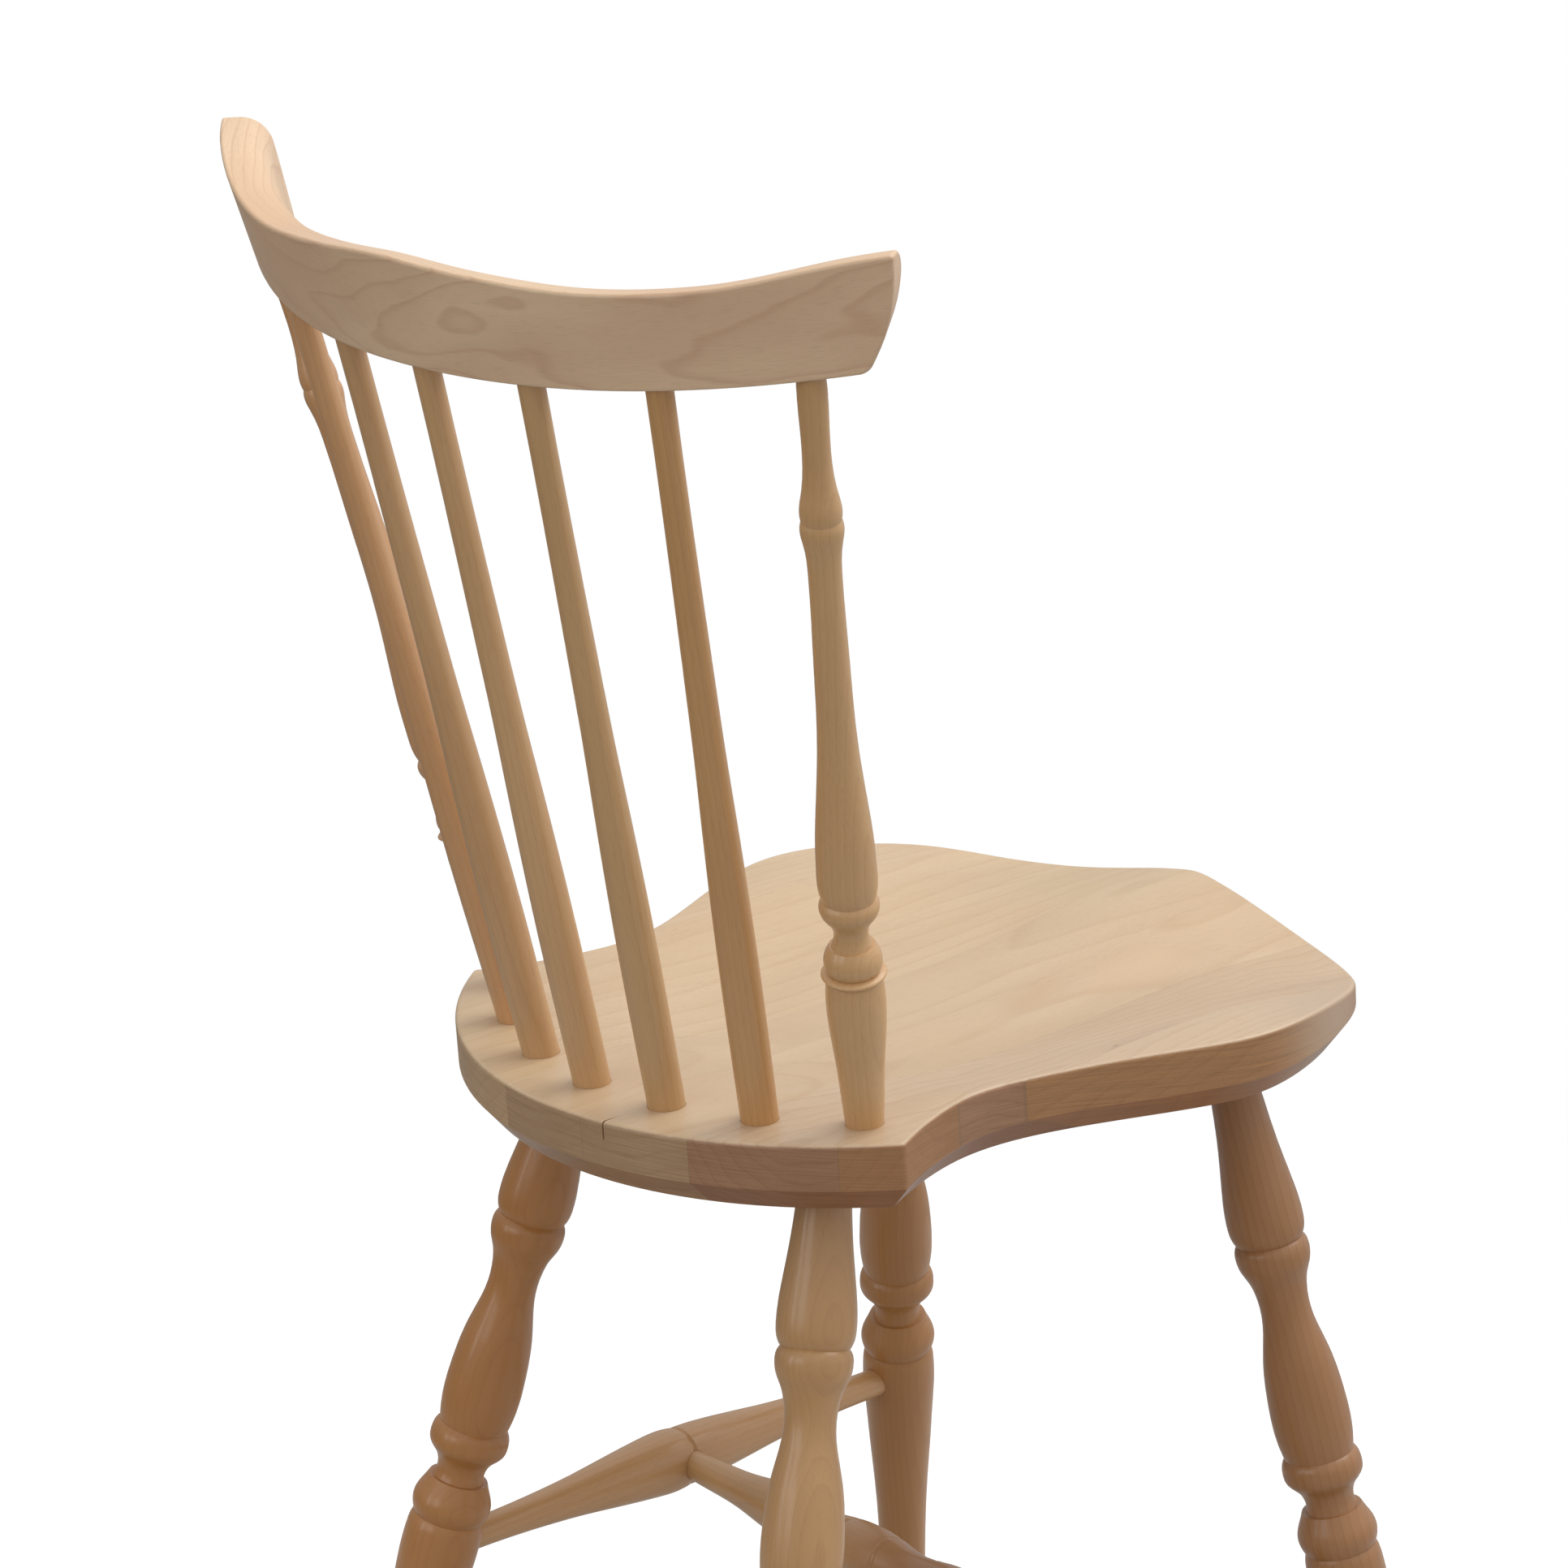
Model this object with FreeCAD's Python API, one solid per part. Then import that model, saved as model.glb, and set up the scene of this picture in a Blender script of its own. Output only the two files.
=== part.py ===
# Dining chair in the Windsor style: a saddled seat joined from boards, a spindle back under a
# curved crest rail, and four turned legs tied together by an H of stretchers.
# Millimetres and degrees. The chair faces -Y, +Z is up, left means -X.
# Everything is built on the seat: x = y = z = 0 is where the middle spindle leaves the flat top
# of the seat. The finished pieces are then tilted with the seat and set down on the floor.

import FreeCAD
import Part
import math
import os
from FreeCAD import Vector

# Seat as a whole
seat_thickness = 34.0
seat_slope = 4.5               # the seat falls towards the back
seat_back_height = 434.0       # floor to the foot of the middle spindle
seat_overhang = 31.0           # seat left behind the middle spindle
seat_front = -386.0
seat_waist = -116.0            # where the seat is narrowest
# The right side in plan, from the rear corner to the middle of the front
seat_side = [(165.6, -50.6), (152.7, -77.0), (143.2, seat_waist), (157.7, -175.0), (174.9, -213.0),
             (186.4, -252.0), (180.0, -294.0), (168.0, -322.0), (155.0, -342.0), (116.0, -370.5),
             (77.5, -381.0), (38.75, -385.0), (0, seat_front)]
underside_bevel = 12.0         # height of the bevel on the lower edge
underside_inset = 9.5
corner_easing = 3.0
top_easing = 2.0

# Saddle: a bowl under the sitter that opens into a channel for each thigh
bowl_centre = -191.0
bowl_depth = 14.5
bowl_floor_radius = 72.0
bowl_rim_radius = 168.0
bowl_front_stretch = 1.3       # the bowl reaches this much further forward than back
channel_depth = 17.5
channel_offset = 116.0         # from the pommel to the deepest line of a channel
channel_fade = 108.0           # from that line to where the channel would run out
channel_start = -220.0
pommel_sharpness = 1.4

# Boards of the seat, with their joints running from front to back
board_width = 58.0
outer_board_width = 58.5
check_offset = -43.0           # drying check in the rear edge
check_width = 0.9
check_length = 11.0
check_height = 9.0

# Spindles and posts stand on one arc and spread into the rail
back_arc_radius = 191.0
back_foot_step = 14.75         # degrees along the arc on the seat
back_top_step = 10.34          # degrees along the rail
spindle_count = 5
spindle_foot = 17.7
spindle_tip = 12.2
post_foot = 17.7
post_tip = 12.3
back_foot_socket = 20.0        # depth of the sockets in the seat
back_top_socket = 18.0         # depth of the sockets in the rail

# Crest rail: a board bent round the sitter and leaned back
rail_lean = 15.92
rail_back_radius = 395.8
rail_thickness = 21.0
rail_spindle_depth = 8.75        # the spindles meet the rail this far in from its back face
rail_foot = Vector(0, 58.6, 358.4)   # lower edge of the rail over the middle spindle
rail_easing = 1.5
rail_front_rounding = 16.0       # the top is rolled over to the front
rail_lower_corner = 8.0
rail_top_fall = 5.2            # the top slopes down to the front by this much in the middle
rail_top_fall_end = 30.0       # degrees from the middle where the top is level again
post_top_angle = 31.25
post_top_depth = 9.9           # from the rail's back face to the middle of a post

# Legs, each placed by its uppermost groove and the way it splays
leg_tenon = 20.0
leg_tenon_length = 18.0
rear_leg_groove = Vector(110.4, -35.0, -111.7)
rear_leg_splay = Vector(0.173, 0.305, -1.0)
front_leg_groove = Vector(142.3, -292.1, -130.7)
front_leg_splay = Vector(0.169, -0.094, -1.0)

# Stretchers
stretcher_drop = 182.0         # along a leg, from its groove to the side stretcher
side_tenon = 15.2
side_socket = 22.0             # reach of a side stretcher into the leg, from the leg's skin
cross_tenon = 15.4
cross_socket = 12.0

# Fits
glue_gap = 0.1                 # round every tenon
socket_relief = 1.0            # beyond the end of every tenon

# Turnings as (distance, diameter). A new list starts wherever the turning has a sharp line.
# A leg, downwards from its uppermost groove:
leg_upper_swell = [(-118, 20.0), (-98, 22.0), (-75, 24.8), (-50, 29.0), (-30, 34.3), (-10, 37.6),
                   (-4, 36.2), (0, 32.5)]
leg_vase = [(0, 32.5), (3, 35.9), (7.2, 36.7), (13, 34.6), (19, 29.4), (25, 26.2), (34, 24.4),
            (43, 25.6), (60, 32.8), (83, 38.1), (101, 38.2), (113.1, 34.4)]
leg_upper_bead = [(113.1, 34.4), (116.5, 38.6), (120.2, 39.7), (124.5, 38.7), (130, 30.0),
                  (136, 24.6), (142.5, 26.0)]
leg_lower_bead = [(142.5, 30.0), (147, 34.0), (155.2, 39.6), (159.5, 38.6), (163.9, 34.8)]
leg_taper = [(163.9, 34.8), (167, 37.2), (171, 38.2), (185, 38.5), (200, 36.6), (223, 33.5),
             (258, 28.4), (290, 25.6), (336, 24.5)]

# A post, upwards from the seat:
post_lower_swell = [(0, post_foot), (15, 19.7), (33, 22.1), (50, 25.3), (63.5, 27.0), (78.6, 25.7)]
post_scribe = [(78.6, 25.7), (79.2, 24.9), (79.8, 25.5), (83.9, 23.7)]
post_lower_bead = [(83.9, 23.7), (86.4, 26.0), (89.6, 26.5), (93.5, 24.6), (96.9, 20.7)]
post_upper_bead = [(96.9, 18.6), (100, 16.4), (103.8, 15.5), (108.4, 18.0), (113, 24.6),
                   (117.4, 27.2), (121.7, 24.0)]
post_upper_swell = [(121.7, 24.0), (126, 26.2), (136.5, 26.9), (151, 25.9), (167.6, 23.3),
                    (184, 20.3), (200.6, 17.8)]
# and downwards from the rail:
post_neck = [(140, 15.7), (96, 14.7), (82.4, 16.7), (73.2, 18.9), (70.4, 17.5)]
post_tip_swell = [(70.4, 17.5), (67.2, 18.4), (57.2, 15.6), (48.2, 13.2), (27, 12.5), (0, post_tip)]

# A spindle, as shares of its length between seat and rail:
spindle_shape = [(0, spindle_foot), (0.12, 18.2), (0.2, 18.3), (0.32, 17.4), (0.44, 15.5),
                 (0.5, 14.4), (0.62, 13.3), (0.74, 12.5), (0.92, 12.0), (1, spindle_tip)]

# Stretchers, as shares of the way from the middle to the piece that they end in:
side_rear_half = [(-0.9, side_tenon), (-0.74, 15.9), (-0.55, 18.8), (-0.41, 22.4), (-0.28, 27.0),
                  (-0.13, 31.8), (-0.05, 33.0), (-0.01, 31.8)]
side_groove = [(-0.01, 31.8), (0, 29.2), (0.01, 31.0)]
side_front_half = [(0.01, 31.0), (0.06, 30.9), (0.18, 28.2), (0.28, 25.0), (0.41, 20.8),
                   (0.55, 17.8), (0.74, 15.6), (0.9, side_tenon)]
cross_bead = [(0, 28.2), (0.05, 27.8), (0.09, 26.4)]
cross_groove = [(0.09, 26.4), (0.1, 24.4), (0.11, 25.8)]
cross_swell = [(0.11, 25.8), (0.16, 23.4), (0.23, 21.4), (0.3, 23.4), (0.4, 27.0), (0.48, 25.4),
               (0.56, 22.0), (0.65, 18.6), (0.74, 17.0), (0.88, cross_tenon)]

# Rail, drawn on its back face as (degrees from the middle, height above the middle of its foot).
# Each list is one half, from the middle outwards.
rail_crown = [(0, 55.6), (3.7, 54.3), (7.1, 52.1), (10.9, 49.4), (15.9, 45.6), (20.7, 43.4),
              (24.1, 42.8), (27.4, 43.1), (31.2, 45.0), (35.6, 47.0), (38.7, 46.6), (41.5, 45.0)]
rail_base = [(0, -0.5), (17, -2.1), (34, -3.5), (41.5, -4.1)]
rail_end = [(34.3, -14.0), (35.45, -3.5), (35.9, 0.5), (36.8, 8.8), (38.2, 27.5), (38.94, 46.6),
            (39.15, 56.0)]

# Loose extra for shapes that only have to reach past what they cut
past = 40.0


def smooth_step(share):
    share = min(max(share, 0.0), 1.0)
    return share * share * (3 - 2 * share)


def smooth_curve(points):
    curve = Part.BSplineCurve()
    curve.interpolate(points)
    return curve.toShape()


def mirrored(point):
    return Vector(-point.x, point.y, point.z)


def both_halves(half):
    # a list from the middle outwards, completed on the other side
    other = [(-along, across) for along, across in half[:0:-1]]
    return other + half


def turned(runs):
    # a solid of revolution standing on the Z axis, with one smooth curve for each run
    radii = [[Vector(diameter / 2, 0, along) for along, diameter in run] for run in runs]
    first = radii[0][0]
    last = radii[-1][-1]
    start = Vector(0, 0, first.z)
    end = Vector(0, 0, last.z)
    edges = [Part.makeLine(start, first)]
    reached = first
    for run in radii:
        if reached.distanceToPoint(run[0]) > 0.001:
            edges.append(Part.makeLine(reached, run[0]))
        if len(run) == 2:
            edges.append(Part.makeLine(run[0], run[1]))
        else:
            edges.append(smooth_curve(run))
        reached = run[-1]
    edges.append(Part.makeLine(last, end))
    edges.append(Part.makeLine(end, start))
    face = Part.Face(Part.Wire(edges))
    return face.revolve(Vector(0, 0, 0), Vector(0, 0, 1), 360)


def stood(shape, start, direction):
    # takes a shape from the Z axis to a line that starts at a point
    shape.Placement = FreeCAD.Placement(start, FreeCAD.Rotation(Vector(0, 0, 1), direction))
    return shape


def rod(diameter, start, end):
    way = end - start
    return Part.makeCylinder(diameter / 2, way.Length, start, way)


def tenon_socket(diameter, mouth, bottom):
    # a round hole for a tenon, begun outside the wood and ended past the tenon's end
    way = (bottom - mouth).normalize()
    return rod(diameter + 2 * glue_gap, mouth - way * past, bottom + way * socket_relief)


def both_sides(point):
    return {"left": mirrored(point), "right": point}


# Seat


def seat_edge():
    # the plan of the seat: an arc behind and one flowing curve round the sides and the front
    right = [Vector(x, y, 0) for x, y in seat_side]
    left = [mirrored(point) for point in right[-2::-1]]
    rear = Part.Arc(left[-1], Vector(0, seat_overhang, 0), right[0]).toShape()
    return Part.Wire([rear, smooth_curve(right + left)])


def saddle_height(x, y):
    stretch = bowl_front_stretch if y < bowl_centre else 1.0
    from_centre = math.hypot(x, (y - bowl_centre) / stretch)
    slope_width = bowl_rim_radius - bowl_floor_radius
    bowl = bowl_depth * (1 - smooth_step((from_centre - bowl_floor_radius) / slope_width))
    if abs(x) < channel_offset:
        across = math.sin(math.pi / 2 * abs(x) / channel_offset) ** pommel_sharpness
    else:
        faded = min((abs(x) - channel_offset) / channel_fade, 1.0)
        across = math.cos(math.pi / 2 * faded) ** 2
    forward = smooth_step((y - channel_start) / (seat_front - channel_start))
    return -(bowl * (1 - forward) + channel_depth * across * forward)


def saddle_cutter():
    # everything above the sat-on surface
    steps = 32
    half_width = max(x for x, y in seat_side) + past
    front = seat_front - past
    rear = seat_overhang + past
    rows = []
    for row in range(steps + 1):
        y = front + (rear - front) * row / steps
        across = [half_width * (2 * column / steps - 1) for column in range(steps + 1)]
        rows.append([Vector(x, y, saddle_height(x, y)) for x in across])
    surface = Part.BSplineSurface()
    surface.interpolate(rows)
    return surface.toShape().extrude(Vector(0, 0, past))


def drying_check():
    # a thin split in the rear edge, pointed where it ends on the top
    corner_x, corner_y = seat_side[0]
    bow = seat_overhang - corner_y
    rear_radius = (bow + corner_x ** 2 / bow) / 2
    edge = seat_overhang - rear_radius + math.sqrt(rear_radius ** 2 - check_offset ** 2)
    mouth = Vector(check_offset, edge, -check_height)
    tip = mouth - Vector(0, check_length, 0)
    side = Vector(check_width / 2, 0, 0)
    outward = Vector(0, past, 0)
    corners = [tip, mouth + side, mouth + side + outward, mouth - side + outward, mouth - side, tip]
    return Part.Face(Part.makePolygon(corners)).extrude(Vector(0, 0, check_height + past))


def seat_blank():
    blank = Part.Face(seat_edge()).extrude(Vector(0, 0, seat_thickness + past / 2))
    blank.translate(Vector(0, 0, -seat_thickness))
    lower = [edge for edge in blank.Edges if edge.BoundBox.ZMax < 1 - seat_thickness]
    blank = blank.makeChamfer(underside_bevel, underside_inset, lower)
    corners = [edge for edge in blank.Edges if edge.BoundBox.ZLength > seat_thickness / 2
               and edge.BoundBox.ZMax > 0]
    blank = blank.makeFillet(corner_easing, corners)
    blank = blank.cut(saddle_cutter())
    side_top = [edge for edge in blank.Edges if edge.BoundBox.ZMin > -seat_thickness / 2]
    return blank.makeFillet(top_easing, side_top)


def seat_boards(blank):
    # sawn apart from front to back; the narrow waist parts the outer strip from its corner piece
    inner = board_width / 2
    middle = inner + board_width
    outer = middle + outer_board_width
    end = outer + 2 * past
    rear = seat_overhang + past
    front = seat_front - past
    spans = {
        "seat_board_3": (-inner, inner, front, rear),
        "seat_board_4": (inner, middle, front, rear),
        "seat_board_5": (middle, outer, front, rear),
        "seat_strip_right": (outer, end, front, seat_waist),
        "seat_corner_right": (outer, end, seat_waist, rear),
    }
    twins = {
        "seat_board_4": "seat_board_2",
        "seat_board_5": "seat_board_1",
        "seat_strip_right": "seat_strip_left",
        "seat_corner_right": "seat_corner_left",
    }
    boards = {}
    for name, (x_low, x_high, y_low, y_high) in spans.items():
        corner = Vector(x_low, y_low, -seat_thickness - past)
        span = Part.makeBox(x_high - x_low, y_high - y_low, seat_thickness + 2 * past, corner)
        boards[name] = blank.common(span)
        if name in twins:
            boards[twins[name]] = boards[name].mirror(Vector(0, 0, 0), Vector(1, 0, 0))
    boards["seat_board_2"] = boards["seat_board_2"].cut(drying_check())
    return boards


# Crest rail


lean = math.radians(rail_lean)
rail_up = Vector(0, math.sin(lean), math.cos(lean))
rail_backward = Vector(0, math.cos(lean), -math.sin(lean))
rail_middle_radius = rail_back_radius - rail_spindle_depth
rail_axis = rail_foot - rail_backward * rail_middle_radius


def rail_outward(angle):
    turn = math.radians(angle)
    return Vector(math.sin(turn), 0, 0) + rail_backward * math.cos(turn)


def rail_point(angle, height, radius):
    return rail_axis + rail_outward(angle) * radius + rail_up * height


def rail_slab():
    # the bent board before it is shaped
    reach = rail_end[-1][0] + 2

    def arc(radius):
        points = [rail_point(angle, -past / 2, radius) for angle in (-reach, 0, reach)]
        return Part.Arc(*points).toShape()
    back = arc(rail_back_radius)
    front = arc(rail_back_radius - rail_thickness)
    ends = [Part.makeLine(back.Vertexes[side].Point, front.Vertexes[side].Point) for side in (0, 1)]
    outline = Part.Wire(Part.__sortEdges__([back, front] + ends))
    return Part.Face(outline).extrude(rail_up * (rail_crown[0][1] + past))


def rail_edge_cutter(outline, fall, way):
    # everything beyond a line drawn on the back face and carried level to the front, or falling
    spare = rail_thickness / 2

    def line(depth):
        points = []
        for angle, height in both_halves(outline):
            share = min(abs(angle) / rail_top_fall_end, 1.0)
            falling = fall * math.cos(math.pi / 2 * share) ** 2 / rail_thickness
            level = math.tan(lean) * math.cos(math.radians(angle))
            lowered = height - (level + falling) * depth
            points.append(rail_point(angle, lowered, rail_back_radius - depth))
        return smooth_curve(points)
    surface = Part.makeRuledSurface(line(-spare), line(rail_thickness + spare))
    return surface.extrude(way * past)


def rail_end_cutter():
    # takes off all that lies beyond the right end, square to the rail's face there
    middle_angle = rail_end[-1][0]
    outward = rail_outward(middle_angle)
    along = rail_up.cross(outward) * -1
    start = rail_point(middle_angle, 0, rail_back_radius + past)

    def on_plane(pair):
        point = rail_point(pair[0], pair[1], rail_back_radius)
        return start + along * (point - start).dot(along) + rail_up * pair[1]
    end = [on_plane(pair) for pair in rail_end]
    low = on_plane(rail_end[0]) - rail_up * past
    high = on_plane(rail_end[-1]) + rail_up * past
    edges = [smooth_curve(end)]
    corners = [end[-1], high, high + along * 2 * past, low + along * 3 * past, low, end[0]]
    edges += Part.makePolygon(corners).Edges
    face = Part.Face(Part.Wire(edges))
    return face.extrude(outward * -3 * past)


def lower_corners(rail):
    # the short edges that run from back to front under the two ends
    short = [edge for edge in rail.Edges if edge.Length < 1.1 * rail_thickness]
    return sorted(short, key=lambda edge: edge.CenterOfMass.z)[:2]


def top_front_edge(rail):
    # of the two long edges at the top the one in front, which is shorter
    long_edges = [edge for edge in rail.Edges if edge.Length > rail_back_radius / 2]
    upper = sorted(long_edges, key=lambda edge: edge.CenterOfMass.z)[-2:]
    return min(upper, key=lambda edge: edge.Length)


def crest_rail():
    end_cut = rail_end_cutter()
    cutters = [
        rail_edge_cutter(rail_crown, rail_top_fall, rail_up),
        rail_edge_cutter(rail_base, 0, rail_up * -1),
        end_cut,
        end_cut.mirror(Vector(0, 0, 0), Vector(1, 0, 0)),
    ]
    rail = rail_slab()
    for cutter in cutters:
        rail = rail.cut(cutter)
    rail = rail.makeFillet(rail_front_rounding, [top_front_edge(rail)])
    rail = rail.makeFillet(rail_lower_corner, lower_corners(rail))
    return rail.makeFillet(rail_easing, rail.Edges)


# Back


def back_places():
    # foot on the seat and meeting point under the rail for each upright, from left to right
    half = (spindle_count + 1) // 2
    places = []
    for step in range(-half, half + 1):
        turn = math.radians(step * back_foot_step)
        foot = Vector(math.sin(turn), math.cos(turn) - 1, 0) * back_arc_radius
        angle = step * back_top_step
        radius = rail_middle_radius
        if abs(step) == half:
            angle = math.copysign(post_top_angle, step)
            radius = rail_back_radius - post_top_depth
        height = rail_base[-1][1] * abs(angle) / rail_base[-1][0]
        places.append((foot, rail_point(angle, height, radius)))
    return places


def spindle(foot, top):
    clear = (top - foot).Length
    shape = [(share * clear, diameter) for share, diameter in spindle_shape]
    foot_tenon = [(-back_foot_socket, spindle_foot), (0, spindle_foot)]
    top_tenon = [(clear, spindle_tip), (clear + back_top_socket, spindle_tip)]
    return stood(turned([foot_tenon, shape, top_tenon]), foot, top - foot)


def post(foot, top):
    clear = (top - foot).Length
    neck = [(clear - drop, diameter) for drop, diameter in post_neck]
    tip = [(clear - drop, diameter) for drop, diameter in post_tip_swell]
    foot_tenon = [(-back_foot_socket, post_foot), (0, post_foot)]
    top_tenon = [(clear, post_tip), (clear + back_top_socket, post_tip)]
    runs = [foot_tenon, post_lower_swell, post_scribe, post_lower_bead, post_upper_bead,
            post_upper_swell + neck, tip, top_tenon]
    return stood(turned(runs), foot, top - foot)


# Legs and stretchers


def leg_lines():
    lines = {}
    for end, groove, splay in (("front", front_leg_groove, front_leg_splay),
                               ("rear", rear_leg_groove, rear_leg_splay)):
        for side in ("left", "right"):
            place = both_sides(groove)[side]
            way = both_sides(splay)[side].normalize()
            lines["leg_%s_%s" % (end, side)] = (place, way)
    return lines


def on_underside(place, way):
    return place + way * ((-seat_thickness - place.z) / way.z)


def leg(place, way, floor):
    runs = [leg_upper_swell, leg_vase, leg_upper_bead, leg_lower_bead, leg_taper]
    last = leg_taper[-1]
    foot = [last, (last[0] + past, last[1])]
    body = stood(turned(runs + [foot]), place, way)
    above_seat = Part.makeBox(4 * past, 4 * past, 4 * past)
    mouth = on_underside(place, way)
    above_seat.translate(Vector(mouth.x - 2 * past, mouth.y - 2 * past, -seat_thickness))
    tenon = rod(leg_tenon, mouth + way * past, mouth - way * leg_tenon_length)
    return body.cut(above_seat).fuse(tenon).cut(floor).removeSplitter()


def floor_block():
    # the ground, seen from the tilted seat
    size = 20 * past
    block = Part.makeBox(2 * size, 2 * size, size, Vector(-size, -size, -size))
    block.translate(Vector(0, 0, -seat_back_height))
    block.rotate(Vector(0, 0, 0), Vector(1, 0, 0), seat_slope)
    return block


def side_stretcher(rear, front):
    middle = (rear + front) * 0.5
    reach = (front - rear).Length / 2
    skin = 1 - leg_radius_at_stretcher() / reach
    end = skin + side_socket / reach
    runs = [[(-end, side_tenon), side_rear_half[0]], side_rear_half, side_groove, side_front_half,
            [side_front_half[-1], (end, side_tenon)]]
    scaled = [[(share * reach, diameter) for share, diameter in run] for run in runs]
    return stood(turned(scaled), middle, front - rear)


def leg_radius_at_stretcher():
    near = min(leg_taper, key=lambda pair: abs(pair[0] - stretcher_drop))
    return near[1] / 2


def cross_stretcher(left, right):
    middle = (left + right) * 0.5
    reach = (right - left).Length / 2
    end = 1 - (side_groove[1][1] / 2 - cross_socket) / reach
    half = [cross_bead, cross_groove, cross_swell, [cross_swell[-1], (end, cross_tenon)]]
    other = [[(-share, diameter) for share, diameter in run[::-1]] for run in half[::-1]]
    joined = [other[-1][:-1] + half[0]]
    runs = other[:-1] + joined + half[1:]
    scaled = [[(share * reach, diameter) for share, diameter in run] for run in runs]
    return stood(turned(scaled), middle, right - left)


# Assembly


def build_pieces():
    pieces = {}
    floor = floor_block()
    places = back_places()
    legs = leg_lines()

    for number, (foot, top) in enumerate(places[1:-1], 1):
        pieces["spindle_%d" % number] = spindle(foot, top)
    pieces["post_left"] = post(*places[0])
    pieces["post_right"] = post(*places[-1])
    for name, (place, way) in legs.items():
        pieces[name] = leg(place, way, floor)

    ties = {name: place + way * stretcher_drop for name, (place, way) in legs.items()}
    middles = {}
    reach_in = side_socket - leg_radius_at_stretcher()
    for side in ("left", "right"):
        rear = ties["leg_rear_" + side]
        front = ties["leg_front_" + side]
        pieces["side_stretcher_" + side] = side_stretcher(rear, front)
        middles[side] = (rear + front) * 0.5
        along = (front - rear).normalize()
        front_leg = "leg_front_" + side
        rear_leg = "leg_rear_" + side
        pieces[front_leg] = pieces[front_leg].cut(
            tenon_socket(side_tenon, front - along * past, front + along * reach_in))
        pieces[rear_leg] = pieces[rear_leg].cut(
            tenon_socket(side_tenon, rear + along * past, rear - along * reach_in))
    pieces["cross_stretcher"] = cross_stretcher(middles["left"], middles["right"])
    across = (middles["right"] - middles["left"]).normalize()
    past_axis = cross_socket - side_groove[1][1] / 2
    for side, way in (("left", across * -1), ("right", across)):
        name = "side_stretcher_" + side
        bottom = middles[side] + way * past_axis
        pieces[name] = pieces[name].cut(tenon_socket(cross_tenon, middles[side] - way * past, bottom))

    rail = crest_rail()
    blank = seat_blank()
    for number, (foot, top) in enumerate(places):
        is_post = number in (0, len(places) - 1)
        way = (top - foot).normalize()
        blank = blank.cut(tenon_socket(post_foot if is_post else spindle_foot,
                                       foot, foot - way * back_foot_socket))
        rail = rail.cut(tenon_socket(post_tip if is_post else spindle_tip,
                                     top, top + way * back_top_socket))
    for place, way in legs.values():
        mouth = on_underside(place, way)
        blank = blank.cut(tenon_socket(leg_tenon, mouth, mouth - way * leg_tenon_length))
    pieces["crest_rail"] = rail
    pieces.update(seat_boards(blank))
    return pieces


def set_down(pieces):
    # tilt with the seat, stand on the floor, and centre the whole over the origin
    for shape in pieces.values():
        shape.rotate(Vector(0, 0, 0), Vector(1, 0, 0), -seat_slope)
        shape.translate(Vector(0, 0, seat_back_height))
    boxes = [shape.optimalBoundingBox(False) for shape in pieces.values()]
    front = min(box.YMin for box in boxes)
    back = max(box.YMax for box in boxes)
    for shape in pieces.values():
        shape.translate(Vector(0, -(front + back) / 2, 0))
    print("rearward shift", -(front + back) / 2)


os.makedirs("parts", exist_ok=True)
chair = build_pieces()
set_down(chair)
for name, shape in chair.items():
    shape.exportStep("parts/%s.step" % name)
    print(name, shape.ShapeType, len(shape.Solids), "valid" if shape.isValid() else "NOT VALID",
          "%.0f mm3" % shape.Volume)
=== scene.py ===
import bpy
import math
import numpy as np
from mathutils import Matrix, Vector


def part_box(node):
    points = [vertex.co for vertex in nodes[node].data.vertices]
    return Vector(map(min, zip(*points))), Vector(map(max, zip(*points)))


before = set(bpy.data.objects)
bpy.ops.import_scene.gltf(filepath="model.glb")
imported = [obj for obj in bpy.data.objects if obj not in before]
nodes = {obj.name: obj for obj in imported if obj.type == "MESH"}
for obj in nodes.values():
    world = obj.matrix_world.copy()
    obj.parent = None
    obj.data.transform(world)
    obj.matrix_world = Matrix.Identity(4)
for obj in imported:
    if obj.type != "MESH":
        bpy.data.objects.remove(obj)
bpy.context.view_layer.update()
print("frame loaded:", len(nodes), "pieces")


# The seat as the chair was built: its slope and the foot of the middle spindle
seat = {
    "slope": math.radians(4.5),
    "spindleFoot": Vector((0, 0.136587, 0.434)),
}
seatTilt = Matrix.Rotation(-seat["slope"], 4, "X")


# Helpers for node trees
nodeSpacing = (200, 160)                                 # columns and rows of a tree
colourMix = {"first": 6, "second": 7, "result": 2}       # a mix node's colour sockets
numberMix = {"first": 2, "second": 3, "result": 0}       # and its number sockets


def addNode(tree, kind, place, **settings):
    node = tree.nodes.new(kind)
    node.location = (place[0] * nodeSpacing[0], -place[1] * nodeSpacing[1])
    for name, value in settings.items():
        setattr(node, name, value)
    return node


def feed(tree, source, target):
    tree.links.new(source, target)


def mathNode(tree, operation, first, second, place):
    node = addNode(tree, "ShaderNodeMath", place, operation=operation)
    for index, value in enumerate((first, second)):
        if value is None:
            continue
        if isinstance(value, (int, float)):
            node.inputs[index].default_value = value
        else:
            feed(tree, value, node.inputs[index])
    return node.outputs[0]


def mixColour(tree, factor, first, second, place, blend="MIX"):
    node = addNode(tree, "ShaderNodeMix", place, data_type="RGBA", blend_type=blend)
    values = ((node.inputs["Factor"], factor),
              (node.inputs[colourMix["first"]], first),
              (node.inputs[colourMix["second"]], second))
    for socket, value in values:
        if isinstance(value, (int, float)):
            socket.default_value = value
        elif isinstance(value, (tuple, list)):
            socket.default_value = (*value, 1)
        else:
            feed(tree, value, socket)
    return node.outputs[colourMix["result"]]


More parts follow.
